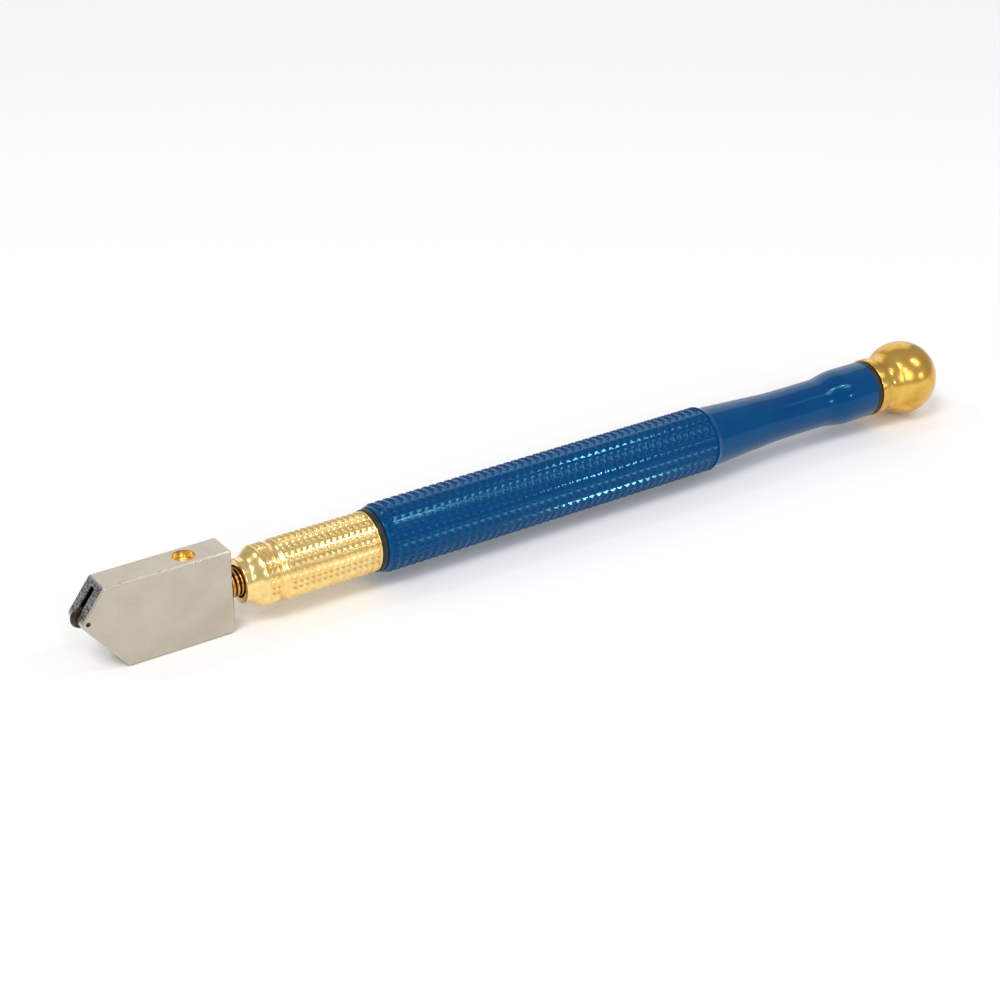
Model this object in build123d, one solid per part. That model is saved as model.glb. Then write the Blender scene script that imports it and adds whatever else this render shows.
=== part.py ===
from build123d import *
import math
import os

# Oil-fed glass cutter. A carbide wheel runs in the tip of a flat head. The head swivels on a
# hollow stem, and pressing it on the glass pushes the stem in and lets oil past a small valve.
# The oil is held in the tubular barrel, under a screwed ball cap.
#
# Sizes are millimetres. Every piece is drawn on the tool's own axis, which is X: x = 0 is the
# rear face of the head, the wheel is at negative x and the ball cap at the far positive end.
# to_part_frame then moves it to the part's frame: origin under the middle of the length, on
# the surface that the head's lower narrow face stands on.

# ---- head -----------------------------------------------------------------------------------
HEAD_HEIGHT = 15.0
HEAD_THICKNESS = 5.5
HEAD_LENGTH = 26.1            # rear face to the tip
HEAD_TOP_SLANT = 4.2          # tip to the corner above the wheel, along the axis
HEAD_BOTTOM_SLANT = 7.4       # tip to the corner below the wheel, along the axis
HEAD_TIP_Z = 1.9              # tip above the axis
HEAD_TIP_ROUND = 0.8
HEAD_LOWER_ROUND = 1.0        # both lower corners
HEAD_UPPER_ROUND = 0.4        # both upper corners
HEAD_EDGE_BEVEL = 0.25
OIL_DUCT_DIA = 1.2            # from the stem socket to the wheel

# ---- wheel, axle and their slot -------------------------------------------------------------
WHEEL_DIA = 3.6
WHEEL_THICKNESS = 1.05
WHEEL_EDGE_ANGLE = 135.0      # included angle of the cutting edge, degrees
WHEEL_SIDE_GAP = 0.1          # wheel to each side of its slot
WHEEL_POCKET_GAP = 0.8        # wheel rim to the bottom of its pocket
WHEEL_SETBACK = 1.2           # axle behind the tip
WHEEL_RISE = 0.2              # axle above the tip
AXLE_DIA = 0.8
AXLE_INSET = 0.1              # axle ends below the broad faces
SLOT_DEPTH = 2.6              # oil slot, square to the upper slanted face
SLOT_TOP_MARGIN = 1.0         # upper corner of the head to the end of the slot

# ---- head screw -----------------------------------------------------------------------------
SCREW_BEHIND = 7.0            # screw axis ahead of the head's rear face
SCREW_HEAD_DIA = 3.5
SCREW_HEAD_HEIGHT = 1.6
SCREW_SHANK_DIA = 3.0
SCREW_TIP_DIA = 1.8
SCREW_TIP_LENGTH = 1.3
SCREW_SLOT_WIDTH = 0.7
SCREW_SLOT_DEPTH = 0.8
SCREW_RECESS = 1.3            # top of the screw below the narrow face
SCREW_HEAD_GAP = 0.1          # radial, screw head in its counterbore
SCREW_THREAD_GAP = 0.05       # radial, shank in its threaded hole
SCREW_SEAT_GAP = 0.03         # screw head above its seat, so that it turns free

# ---- valve stem -----------------------------------------------------------------------------
STEM_FRONT_DIA = 3.2          # in the head
STEM_PAST_SCREW = 2.5         # end of the stem beyond the screw's axis
STEM_END_GAP = 1.0            # end of the stem to the bottom of its socket
STEM_BODY_DIA = 4.8           # in the ferrule
STEM_BODY_LENGTH = 14.0
STEM_FLANGE_DIA = 6.0
STEM_FLANGE_THICKNESS = 1.0
STEM_TAIL_DIA = 3.0
STEM_TAIL_LENGTH = 2.5
STEM_OIL_DIA = 1.4
STEM_CROSS_HOLE_DIA = 1.0
STEM_RING_PITCH = 0.8         # turned ridges on the part of the stem that shows
STEM_RING_DEPTH = 0.25
STEM_RING_ROUND = 0.34        # section radius of each ridge
STEM_RING_COUNT = 4
SWIVEL_ANGLE = 10.0           # head to each side of the middle, degrees
SWIVEL_NOTCH_DEPTH = 0.5
SWIVEL_NOTCH_GAP = 0.1        # screw tip to the notch's ends and sides
SCREW_TIP_GAP = 0.05          # screw tip to the notch's floor
PRESS_TRAVEL = 0.8            # stem pressed in

# ---- fits shared by the turned pieces -------------------------------------------------------
RUNNING_GAP = 0.05            # radial, moving pieces
THREAD_GAP = 0.05             # radial, screwed pieces drawn as plain cylinders
SEAL_GAP = 0.02               # radial, rubber to metal
FACE_GAP = 0.05               # axial, moving faces at rest

# ---- rubber rings ---------------------------------------------------------------------------
HEAD_O_RING_SECTION = 0.5
HEAD_O_RING_SETBACK = 2.5     # ahead of the head's rear face
STEM_O_RING_SECTION = 0.8
STEM_O_RING_SETBACK = 4.0     # ahead of the stem's flange
SEAT_O_RING_SECTION = 0.7

# ---- front ferrule --------------------------------------------------------------------------
NOSE_X = 2.0                  # nose of the ferrule behind the head
NOSE_DIA = 7.5
NOSE_LIP_LENGTH = 1.0
NOSE_BORE_DIA = 5.6
NOSE_BORE_DEPTH = 3.0
BELL_LENGTH = 2.7             # nose lip to the narrow band
BAND_LENGTH = 1.6
BAND_STEP = 0.1               # narrow band below the main knurl, radial
GROOVE_DEPTH = 0.45           # smooth groove below the main knurl, radial
GROOVE_LENGTH = 2.0           # narrow band to the main knurl
FERRULE_DIA = 10.5
FERRULE_KNURL_LENGTH = 17.0
FERRULE_LIP = 0.15            # rounding of the rear edge
CHAMBER_GAP = 0.2             # radial, round the stem's flange
VALVE_BORE_STEP = 0.2         # step that the seat rests on, radial
SPIGOT_WALL = 0.8             # threaded spigot round the valve bore
SPIGOT_RIM = 2.8              # spigot behind the clip

# ---- valve ----------------------------------------------------------------------------------
SEAT_BEHIND = 0.65            # seat behind the stem's tail, stem pressed in
SEAT_THICKNESS = 2.0
SEAT_HOLE_DIA = 2.4
POPPET_DIA = 4.8
POPPET_THICKNESS = 1.0
POPPET_NOSE_DIA = 1.6
POPPET_TAIL_DIA = 2.0
POPPET_TAIL_ENGAGED = 1.0     # in the retainer's guide hole, valve shut
POPPET_SEAL_DIA = 4.4
POPPET_SEAL_THICKNESS = 0.8
SPRING_LENGTH = 5.2
SPRING_MEAN_DIA = 3.5
SPRING_WIRE_DIA = 0.4
SPRING_TURNS = 5
RETAINER_THICKNESS = 2.0
RETAINER_HOLE_COUNT = 4
RETAINER_HOLE_DIA = 1.0
RETAINER_HOLE_CIRCLE = 4.6
CLIP_THICKNESS = 0.5
CLIP_DEPTH = 0.3              # clip groove into the wall of the valve bore
CLIP_BORE_DIA = 5.4
CLIP_GAP_ANGLE = 50.0         # opening of the clip, degrees

# ---- barrel ---------------------------------------------------------------------------------
FRONT_SEAL_THICKNESS = 1.1
FRONT_SEAL_DIA = 10.8
GRIP_DIA = 12.0
GRIP_END_DROP = 0.5           # front edge below the grip, radial
GRIP_ROUND = 1.9              # length of the rounded front end
GRIP_LENGTH = 69.3            # front of the barrel to the end of the knurled grip
GRIP_STEP_LENGTH = 0.9
GRIP_STEP = 0.45              # grip to the start of the cone, radial
CONE_LENGTH = 16.3
NECK_WALL = 0.98
NECK_LENGTH = 10.3
FLARE_LENGTH = 6.0
REAR_LENGTH = 6.1             # end of the flare to the rear face
REAR_WALL = 1.33              # round the rear socket
REAR_ROUND = 0.3
SOCKET_STEP = 0.65            # front socket to the oil reservoir, radial
FRONT_SOCKET_EXTRA = 0.4      # bottom of the front socket behind the ferrule's spigot
REAR_SOCKET_EXTRA = 0.8       # bottom of the rear socket ahead of the cap's stud

# ---- ball cap -------------------------------------------------------------------------------
REAR_SEAL_THICKNESS = 1.1
REAR_SEAL_DIA = 10.4
STUD_STEP = 0.3               # stud outside the oil reservoir, radial
CAP_STUD_IN_BARREL = 7.0
CAP_STUD_CHAMFER = 0.4
CAP_FLANGE_DIA = 10.9
CAP_FLANGE_LENGTH = 1.8
CAP_FLANGE_ROUND = 0.2
CAP_WAIST_DIA = 10.4
CAP_WAIST_X = 3.0             # narrowest place, from the flange's front face
CAP_WAIST_BLEND = 0.4         # radius gained where the waist runs into the ball
CAP_WAIST_RUN = 1.8           # waist to the place where the ball begins
BALL_DIA = 14.0

# ---- sizes and places that follow from the ones above ---------------------------------------
WHEEL_X = WHEEL_SETBACK - HEAD_LENGTH
WHEEL_Z = HEAD_TIP_Z + WHEEL_RISE
SLOT_WIDTH = WHEEL_THICKNESS + 2 * WHEEL_SIDE_GAP
POCKET_RADIUS = WHEEL_DIA / 2 + WHEEL_POCKET_GAP

SCREW_X = -SCREW_BEHIND
SCREW_TOP_Z = HEAD_HEIGHT / 2 - SCREW_RECESS
SCREW_SEAT_Z = SCREW_TOP_Z - SCREW_HEAD_HEIGHT
SCREW_TIP_Z = STEM_FRONT_DIA / 2 - SWIVEL_NOTCH_DEPTH + SCREW_TIP_GAP

STEM_FRONT_X = SCREW_X - STEM_PAST_SCREW
STEM_BODY_END_X = FACE_GAP + STEM_BODY_LENGTH
STEM_FLANGE_END_X = STEM_BODY_END_X + STEM_FLANGE_THICKNESS
STEM_RINGS_END_X = FACE_GAP + STEM_RING_COUNT * STEM_RING_PITCH
STEM_TAIL_END_X = STEM_FLANGE_END_X + STEM_TAIL_LENGTH
HEAD_BORE_DIA = STEM_FRONT_DIA + 2 * RUNNING_GAP
HEAD_BORE_END_X = STEM_FRONT_X - STEM_END_GAP
GUIDE_DIA = STEM_BODY_DIA + 2 * RUNNING_GAP
CHAMBER_X = STEM_BODY_END_X - FACE_GAP
CHAMBER_DIA = STEM_FLANGE_DIA + 2 * CHAMBER_GAP
VALVE_BORE_DIA = CHAMBER_DIA + 2 * VALVE_BORE_STEP

SEAT_X = STEM_TAIL_END_X + PRESS_TRAVEL + SEAT_BEHIND
SEAT_END_X = SEAT_X + SEAT_THICKNESS
POPPET_X = SEAT_END_X + POPPET_SEAL_THICKNESS
SPRING_X = POPPET_X + POPPET_THICKNESS
RETAINER_X = SPRING_X + SPRING_LENGTH
CLIP_X = RETAINER_X + RETAINER_THICKNESS
CLIP_END_X = CLIP_X + CLIP_THICKNESS
CLIP_GROOVE_DIA = VALVE_BORE_DIA + 2 * CLIP_DEPTH

BAND_X = NOSE_X + NOSE_LIP_LENGTH + BELL_LENGTH
FERRULE_KNURL_X = BAND_X + BAND_LENGTH + GROOVE_LENGTH
FERRULE_END_X = FERRULE_KNURL_X + FERRULE_KNURL_LENGTH
SPIGOT_DIA = VALVE_BORE_DIA + 2 * SPIGOT_WALL
SPIGOT_END_X = CLIP_END_X + SPIGOT_RIM
FRONT_SOCKET_DIA = SPIGOT_DIA + 2 * THREAD_GAP

RESERVOIR_DIA = FRONT_SOCKET_DIA - 2 * SOCKET_STEP
CAP_STUD_DIA = RESERVOIR_DIA + 2 * STUD_STEP
REAR_SOCKET_DIA = CAP_STUD_DIA + 2 * THREAD_GAP
NECK_DIA = RESERVOIR_DIA + 2 * NECK_WALL
REAR_DIA = REAR_SOCKET_DIA + 2 * REAR_WALL
BARREL_X = FERRULE_END_X + FRONT_SEAL_THICKNESS
GRIP_END_X = BARREL_X + GRIP_LENGTH
CONE_X = GRIP_END_X + GRIP_STEP_LENGTH
NECK_X = CONE_X + CONE_LENGTH
FLARE_X = NECK_X + NECK_LENGTH
FLARE_END_X = FLARE_X + FLARE_LENGTH
BARREL_END_X = FLARE_END_X + REAR_LENGTH

CAP_X = BARREL_END_X + REAR_SEAL_THICKNESS
CAP_STUD_X = BARREL_END_X - CAP_STUD_IN_BARREL
CAP_WAIST_END_X = CAP_X + CAP_WAIST_X + CAP_WAIST_RUN
CAP_WAIST_END_RADIUS = CAP_WAIST_DIA / 2 + CAP_WAIST_BLEND
BALL_X = CAP_WAIST_END_X + math.sqrt((BALL_DIA / 2)**2 - CAP_WAIST_END_RADIUS**2)

WHEEL_FRONT_X = WHEEL_X - WHEEL_DIA / 2
BALL_END_X = BALL_X + BALL_DIA / 2

to_part_frame = Location((-(WHEEL_FRONT_X + BALL_END_X) / 2, 0, HEAD_HEIGHT / 2))


def turned(outline):
    """Solid turned about the tool's axis from the lines and curves of its half section."""
    return revolve(make_face(outline), Axis.X)


def turned_points(points):
    """Solid turned about the tool's axis from the (x, radius) corners of its half section."""
    return turned(Polyline(*points, close=True))


def rod(x_start, x_end, diameter):
    """Plain round bar along the tool's axis."""
    radius = diameter / 2
    return turned_points([(x_start, 0), (x_start, radius), (x_end, radius), (x_end, 0)])


def ring(x_start, x_end, inner_dia, outer_dia):
    """Plain ring or washer on the tool's axis."""
    return rod(x_start, x_end, outer_dia) - rod(x_start, x_end, inner_dia)


def o_ring(x_middle, bore_dia, section):
    """Round-section rubber ring that seals in a bore on the tool's axis."""
    middle_radius = (bore_dia - section) / 2 - SEAL_GAP
    circle = Pos(x_middle, middle_radius) * Circle(section / 2)
    return revolve(circle, Axis.X)


def o_ring_groove(x_middle, bore_dia, section):
    """Ring-shaped cut that leaves the seal clearance round an O-ring."""
    half_width = section / 2 + SEAL_GAP
    floor_dia = bore_dia - 2 * section - 4 * SEAL_GAP
    return ring(x_middle - half_width, x_middle + half_width, floor_dia, bore_dia)


def upright_rod(x, z_start, z_end, diameter):
    """Plain round bar along Z, crossing the tool's axis at x."""
    return Pos(x, 0, (z_start + z_end) / 2) * Cylinder(diameter / 2, z_end - z_start)


def cross_rod(x, z, length, diameter):
    """Plain round bar along Y, centred on the head's middle plane."""
    return Pos(x, 0, z) * Rot(90, 0, 0) * Cylinder(diameter / 2, length)


def side_plate(corners, thickness):
    """Plate of the given (x, z) outline, centred on the head's middle plane."""
    outline = make_face(Polyline(*corners, close=True))
    return extrude(Plane.XZ * outline, thickness / 2, both=True)


def head_blank():
    """Flat head with its rounded corners and the bevels along its broad faces."""
    half = HEAD_HEIGHT / 2
    corners = [(0, half), (HEAD_TOP_SLANT - HEAD_LENGTH, half), (-HEAD_LENGTH, HEAD_TIP_Z),
               (HEAD_BOTTOM_SLANT - HEAD_LENGTH, -half), (0, -half)]
    blank = side_plate(corners, HEAD_THICKNESS)
    rounds = [HEAD_UPPER_ROUND, HEAD_UPPER_ROUND, HEAD_TIP_ROUND,
              HEAD_LOWER_ROUND, HEAD_LOWER_ROUND]
    for (x, z), radius in zip(corners, rounds):
        corner = blank.edges().filter_by(Axis.Y).sort_by_distance(Vector(x, 0, z))[0]
        blank = fillet(corner, radius)
    broad_faces = blank.faces().filter_by(Axis.Y)
    return chamfer(broad_faces.edges(), HEAD_EDGE_BEVEL)


def wheel_slot():
    """Oil slot down the upper slanted face, opening into the round pocket of the wheel."""
    top = Vector(HEAD_TOP_SLANT - HEAD_LENGTH, HEAD_HEIGHT / 2)
    tip = Vector(-HEAD_LENGTH, HEAD_TIP_Z)
    along = (tip - top).normalized()
    inward = Vector(-along.Y, along.X)
    start = top + along * SLOT_TOP_MARGIN
    depth = inward * SLOT_DEPTH
    outside = inward * -HEAD_THICKNESS
    corners = [start + outside, start + depth, tip + depth, tip + outside]
    slot = side_plate([(corner.X, corner.Y) for corner in corners], SLOT_WIDTH)
    return slot + cross_rod(WHEEL_X, WHEEL_Z, SLOT_WIDTH, 2 * POCKET_RADIUS)


def cutter_head():
    """Head with the stem socket, oil duct, screw hole, wheel slot and axle hole."""
    counterbore_dia = SCREW_HEAD_DIA + 2 * SCREW_HEAD_GAP
    thread_dia = SCREW_SHANK_DIA + 2 * SCREW_THREAD_GAP
    head = head_blank()
    head -= rod(HEAD_BORE_END_X, HEAD_THICKNESS, HEAD_BORE_DIA)
    head -= rod(WHEEL_X + POCKET_RADIUS / 2, HEAD_BORE_END_X, OIL_DUCT_DIA)
    seat_z = SCREW_SEAT_Z - SCREW_SEAT_GAP
    head -= upright_rod(SCREW_X, seat_z, HEAD_HEIGHT, counterbore_dia)
    head -= upright_rod(SCREW_X, 0, seat_z, thread_dia)
    head -= wheel_slot()
    head -= cross_rod(WHEEL_X, WHEEL_Z, 2 * HEAD_THICKNESS, AXLE_DIA)
    return head


def cutting_wheel():
    """Carbide disc with a bevelled cutting edge and the running bore for its axle."""
    half = WHEEL_THICKNESS / 2
    radius = WHEEL_DIA / 2
    bore = AXLE_DIA / 2 + RUNNING_GAP
    bevel = half / math.tan(math.radians(WHEEL_EDGE_ANGLE / 2))
    section = [(bore, -half), (radius - bevel, -half), (radius, 0), (radius - bevel, half),
               (bore, half)]
    disc = revolve(make_face(Polyline(*section, close=True)), Axis.Y)
    return Pos(WHEEL_X, 0, WHEEL_Z) * disc


def wheel_axle():
    return cross_rod(WHEEL_X, WHEEL_Z, HEAD_THICKNESS - 2 * AXLE_INSET, AXLE_DIA)


def head_screw():
    """Slotted screw whose plain tip stands in the swivel notch of the stem."""
    shank_end_z = SCREW_TIP_Z + SCREW_TIP_LENGTH
    screw = upright_rod(SCREW_X, SCREW_SEAT_Z, SCREW_TOP_Z, SCREW_HEAD_DIA)
    screw += upright_rod(SCREW_X, shank_end_z, SCREW_SEAT_Z, SCREW_SHANK_DIA)
    screw += upright_rod(SCREW_X, SCREW_TIP_Z, shank_end_z, SCREW_TIP_DIA)
    slot = Box(2 * SCREW_HEAD_DIA, SCREW_SLOT_WIDTH, 2 * SCREW_SLOT_DEPTH)
    return screw - Pos(SCREW_X, 0, SCREW_TOP_Z) * slot


def swivel_notch():
    """Sector cut round the top of the stem, as wide as the screw tip and its swing."""
    outer = STEM_FRONT_DIA / 2
    inner = outer - SWIVEL_NOTCH_DEPTH
    half_width = SCREW_TIP_DIA / 2 + SWIVEL_NOTCH_GAP
    tip_angle = math.degrees(math.atan2(half_width, SCREW_TIP_Z))
    half_angle = tip_angle + SWIVEL_ANGLE
    x_start = SCREW_X - half_width
    x_end = SCREW_X + half_width
    section = [(x_start, inner), (x_start, 2 * outer), (x_end, 2 * outer), (x_end, inner)]
    profile = make_face(Polyline(*section, close=True))
    notch = revolve(profile, Axis.X, 2 * half_angle)
    return Rot(90 - half_angle, 0, 0) * notch


def stem_rings():
    """Front of the stem's body: a thinner core with rounded ridges round it."""
    rings = rod(FACE_GAP, STEM_RINGS_END_X, STEM_BODY_DIA - 2 * STEM_RING_DEPTH)
    for number in range(STEM_RING_COUNT):
        middle = FACE_GAP + (number + 0.5) * STEM_RING_PITCH
        ridge = Pos(middle, STEM_BODY_DIA / 2 - STEM_RING_ROUND) * Circle(STEM_RING_ROUND)
        rings += revolve(ridge, Axis.X)
    return rings


def valve_stem():
    """Hollow stem: head end, ringed body, stop flange and a tail with the oil inlet."""
    inlet_x = STEM_FLANGE_END_X + STEM_TAIL_LENGTH / 2
    stem = rod(STEM_FRONT_X, FACE_GAP, STEM_FRONT_DIA)
    stem += stem_rings()
    stem += rod(STEM_RINGS_END_X, STEM_BODY_END_X, STEM_BODY_DIA)
    stem += rod(STEM_BODY_END_X, STEM_FLANGE_END_X, STEM_FLANGE_DIA)
    stem += rod(STEM_FLANGE_END_X, STEM_TAIL_END_X, STEM_TAIL_DIA)
    stem -= rod(STEM_FRONT_X, inlet_x + STEM_CROSS_HOLE_DIA / 2, STEM_OIL_DIA)
    stem -= upright_rod(inlet_x, -STEM_TAIL_DIA, STEM_TAIL_DIA, STEM_CROSS_HOLE_DIA)
    stem -= o_ring_groove(-HEAD_O_RING_SETBACK, HEAD_BORE_DIA, HEAD_O_RING_SECTION)
    stem -= o_ring_groove(STEM_BODY_END_X - STEM_O_RING_SETBACK, GUIDE_DIA,
                          STEM_O_RING_SECTION)
    return stem - swivel_notch()


def oil_wick():
    """Felt wick that fills the head's duct between the stem and the wheel's pocket."""
    pocket_x = WHEEL_X + math.sqrt(POCKET_RADIUS**2 - (WHEEL_Z - OIL_DUCT_DIA / 2)**2)
    return rod(pocket_x + WHEEL_SIDE_GAP, HEAD_BORE_END_X, OIL_DUCT_DIA)


def head_o_ring():
    return o_ring(-HEAD_O_RING_SETBACK, HEAD_BORE_DIA, HEAD_O_RING_SECTION)


def stem_o_ring():
    return o_ring(STEM_BODY_END_X - STEM_O_RING_SETBACK, GUIDE_DIA, STEM_O_RING_SECTION)


def ferrule_outline():
    """Half section of the ferrule's outside, from the nose to the end of the spigot."""
    lip_end = (NOSE_X + NOSE_LIP_LENGTH, NOSE_DIA / 2)
    body = FERRULE_DIA / 2
    band_start = (BAND_X, body - BAND_STEP)
    band_end = (BAND_X + BAND_LENGTH, body - BAND_STEP)
    groove = (BAND_X + BAND_LENGTH + GROOVE_LENGTH / 4, body - GROOVE_DEPTH)
    knurl_start = (FERRULE_KNURL_X, body)
    nose = Polyline((NOSE_X, 0), (NOSE_X, NOSE_DIA / 2), lip_end)
    bell = Spline(lip_end, band_start, tangents=[(1, 0), (1, 0)])
    band = Line(band_start, band_end)
    into_groove = Spline(band_end, groove, tangents=[(1, -1), (1, 0)])
    shoulder = Spline(groove, knurl_start, tangents=[(1, 0), (1, 0)])
    rear = Polyline(knurl_start, (FERRULE_END_X - FERRULE_LIP, body),
                    (FERRULE_END_X, body - FERRULE_LIP), (FERRULE_END_X, SPIGOT_DIA / 2),
                    (SPIGOT_END_X, SPIGOT_DIA / 2), (SPIGOT_END_X, 0), (NOSE_X, 0))
    return nose + bell + band + into_groove + shoulder + rear


def front_ferrule():
    """Knurled ferrule: guides the stem in its nose and holds the valve behind it."""
    ferrule = turned(ferrule_outline())
    ferrule -= rod(NOSE_X, NOSE_X + NOSE_BORE_DEPTH, NOSE_BORE_DIA)
    ferrule -= rod(NOSE_X, CHAMBER_X, GUIDE_DIA)
    ferrule -= rod(CHAMBER_X, SEAT_X, CHAMBER_DIA)
    ferrule -= rod(SEAT_X, SPIGOT_END_X, VALVE_BORE_DIA)
    return ferrule - ring(CLIP_X, CLIP_END_X, VALVE_BORE_DIA / 2, CLIP_GROOVE_DIA)


def valve_seat():
    """Seat disc with its sealing ring's groove, pressed on the step of the valve bore."""
    middle_x = (SEAT_X + SEAT_END_X) / 2
    seat = ring(SEAT_X, SEAT_END_X, SEAT_HOLE_DIA, VALVE_BORE_DIA - 2 * RUNNING_GAP)
    return seat - o_ring_groove(middle_x, VALVE_BORE_DIA, SEAT_O_RING_SECTION)


def seat_o_ring():
    return o_ring((SEAT_X + SEAT_END_X) / 2, VALVE_BORE_DIA, SEAT_O_RING_SECTION)


def valve_poppet():
    """Poppet: a nose through the seat to the stem, a flange for the seal and a guided tail."""
    poppet = rod(STEM_TAIL_END_X, POPPET_X, POPPET_NOSE_DIA)
    poppet += rod(POPPET_X, SPRING_X, POPPET_DIA)
    return poppet + rod(SPRING_X, RETAINER_X + POPPET_TAIL_ENGAGED, POPPET_TAIL_DIA)


def poppet_seal():
    return ring(SEAT_END_X, POPPET_X, POPPET_NOSE_DIA, POPPET_SEAL_DIA)


def valve_spring():
    """Coil spring between the poppet's flange and the retainer."""
    pitch = (SPRING_LENGTH - SPRING_WIRE_DIA) / SPRING_TURNS
    helix = Helix(pitch, pitch * SPRING_TURNS, SPRING_MEAN_DIA / 2)
    wire = Plane(origin=helix @ 0, z_dir=helix % 0) * Circle(SPRING_WIRE_DIA / 2)
    coil = sweep(wire, path=helix, is_frenet=True)
    return Pos(SPRING_X + SPRING_WIRE_DIA / 2, 0, 0) * Rot(0, 90, 0) * coil


def spring_retainer():
    """Disc behind the spring, with a guide hole and a circle of oil holes."""
    guide_dia = POPPET_TAIL_DIA + 2 * RUNNING_GAP
    disc = ring(RETAINER_X, CLIP_X, guide_dia, VALVE_BORE_DIA - 2 * RUNNING_GAP)
    hole = Pos(0, 0, RETAINER_HOLE_CIRCLE / 2) * rod(RETAINER_X, CLIP_X, RETAINER_HOLE_DIA)
    for number in range(RETAINER_HOLE_COUNT):
        disc -= Rot(number * 360 / RETAINER_HOLE_COUNT, 0, 0) * hole
    return disc


def retainer_clip():
    """Open snap ring in the groove behind the retainer."""
    outer = CLIP_GROOVE_DIA / 2 - SEAL_GAP
    inner = CLIP_BORE_DIA / 2
    section = [(CLIP_X, inner), (CLIP_X, outer), (CLIP_END_X, outer), (CLIP_END_X, inner)]
    profile = make_face(Polyline(*section, close=True))
    return revolve(profile, Axis.X, 360 - CLIP_GAP_ANGLE)


def ferrule_seal():
    inner_dia = SPIGOT_DIA + 2 * SEAL_GAP
    return ring(FERRULE_END_X, BARREL_X, inner_dia, FRONT_SEAL_DIA)


def barrel_outline():
    """Half section of the barrel's outside: grip, step, long cone, neck, flare and rear."""
    grip = GRIP_DIA / 2
    neck = NECK_DIA / 2
    rear = REAR_DIA / 2
    front = (BARREL_X, grip - GRIP_END_DROP)
    rounded = Spline(front, (BARREL_X + GRIP_ROUND, grip), tangents=[(1, 1), (1, 0)])
    straight = Polyline((BARREL_X + GRIP_ROUND, grip), (GRIP_END_X, grip),
                        (CONE_X, grip - GRIP_STEP), (NECK_X, neck), (FLARE_X, neck))
    flare = Spline((FLARE_X, neck), (FLARE_END_X, rear), tangents=[(1, 0), (1, 0)])
    end = Polyline((FLARE_END_X, rear), (BARREL_END_X - REAR_ROUND, rear),
                   (BARREL_END_X, rear - REAR_ROUND), (BARREL_END_X, 0), (BARREL_X, 0),
                   front)
    return rounded + straight + flare + end


def barrel():
    """Tubular handle: oil reservoir with a threaded socket at each end."""
    tube = turned(barrel_outline())
    tube -= rod(BARREL_X, BARREL_END_X, RESERVOIR_DIA)
    tube -= rod(BARREL_X, SPIGOT_END_X + FRONT_SOCKET_EXTRA, FRONT_SOCKET_DIA)
    return tube - rod(CAP_STUD_X - REAR_SOCKET_EXTRA, BARREL_END_X, REAR_SOCKET_DIA)


def cap_seal():
    inner_dia = CAP_STUD_DIA + 2 * SEAL_GAP
    return ring(BARREL_END_X, CAP_X, inner_dia, REAR_SEAL_DIA)


def cap_outline():
    """Half section of the cap: threaded stud, flange, waist and ball."""
    stud = CAP_STUD_DIA / 2
    flange = CAP_FLANGE_DIA / 2
    flange_end = (CAP_X + CAP_FLANGE_LENGTH, flange)
    waist = (CAP_X + CAP_WAIST_X, CAP_WAIST_DIA / 2)
    waist_end = (CAP_WAIST_END_X, CAP_WAIST_END_RADIUS)
    ball_tangent = (CAP_WAIST_END_RADIUS, BALL_X - CAP_WAIST_END_X)
    front = Polyline((CAP_STUD_X, 0), (CAP_STUD_X, stud - CAP_STUD_CHAMFER),
                     (CAP_STUD_X + CAP_STUD_CHAMFER, stud), (CAP_X, stud),
                     (CAP_X, flange - CAP_FLANGE_ROUND), (CAP_X + CAP_FLANGE_ROUND, flange),
                     flange_end)
    hollow = Spline(flange_end, waist, waist_end, tangents=[(1, 0), ball_tangent])
    crown = ThreePointArc(waist_end, (BALL_X, BALL_DIA / 2), (BALL_END_X, 0))
    return front + hollow + crown + Line((BALL_END_X, 0), (CAP_STUD_X, 0))


def ball_cap():
    return turned(cap_outline())


PIECES = [
    cutter_head, cutting_wheel, wheel_axle, head_screw, valve_stem, oil_wick, head_o_ring,
    stem_o_ring, front_ferrule, valve_seat, seat_o_ring, valve_poppet, poppet_seal,
    valve_spring, spring_retainer, retainer_clip, ferrule_seal, barrel, cap_seal, ball_cap,
]

os.makedirs("parts", exist_ok=True)
for piece in PIECES:
    shape = to_part_frame * piece()
    shape.label = piece.__name__
    export_step(shape, f"parts/{piece.__name__}.step")
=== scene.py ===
import math

import bmesh
import bpy
import numpy as np
from mathutils import Matrix, Vector


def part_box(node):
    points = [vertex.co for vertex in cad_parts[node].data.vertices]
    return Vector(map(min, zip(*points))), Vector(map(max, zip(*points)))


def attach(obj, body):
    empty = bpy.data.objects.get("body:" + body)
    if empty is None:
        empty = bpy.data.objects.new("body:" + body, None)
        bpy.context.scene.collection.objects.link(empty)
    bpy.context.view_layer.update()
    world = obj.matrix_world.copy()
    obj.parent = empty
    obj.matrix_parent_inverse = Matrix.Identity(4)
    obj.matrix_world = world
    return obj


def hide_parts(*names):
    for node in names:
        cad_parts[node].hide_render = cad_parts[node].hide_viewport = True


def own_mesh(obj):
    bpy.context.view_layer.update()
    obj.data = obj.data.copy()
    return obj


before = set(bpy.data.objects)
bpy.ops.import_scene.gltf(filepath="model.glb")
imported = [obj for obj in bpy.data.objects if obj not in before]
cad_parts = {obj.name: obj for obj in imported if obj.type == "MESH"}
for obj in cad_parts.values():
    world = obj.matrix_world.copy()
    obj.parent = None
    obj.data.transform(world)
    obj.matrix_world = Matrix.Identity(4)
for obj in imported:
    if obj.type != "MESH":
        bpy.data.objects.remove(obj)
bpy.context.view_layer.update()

# Looks of the oil-fed glass cutter. The frame is in metres. The turned pieces are drawn in
# millimetres along the tool's axis (X), each from the front end of the CAD node it stands for.

MM = 0.001

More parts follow.
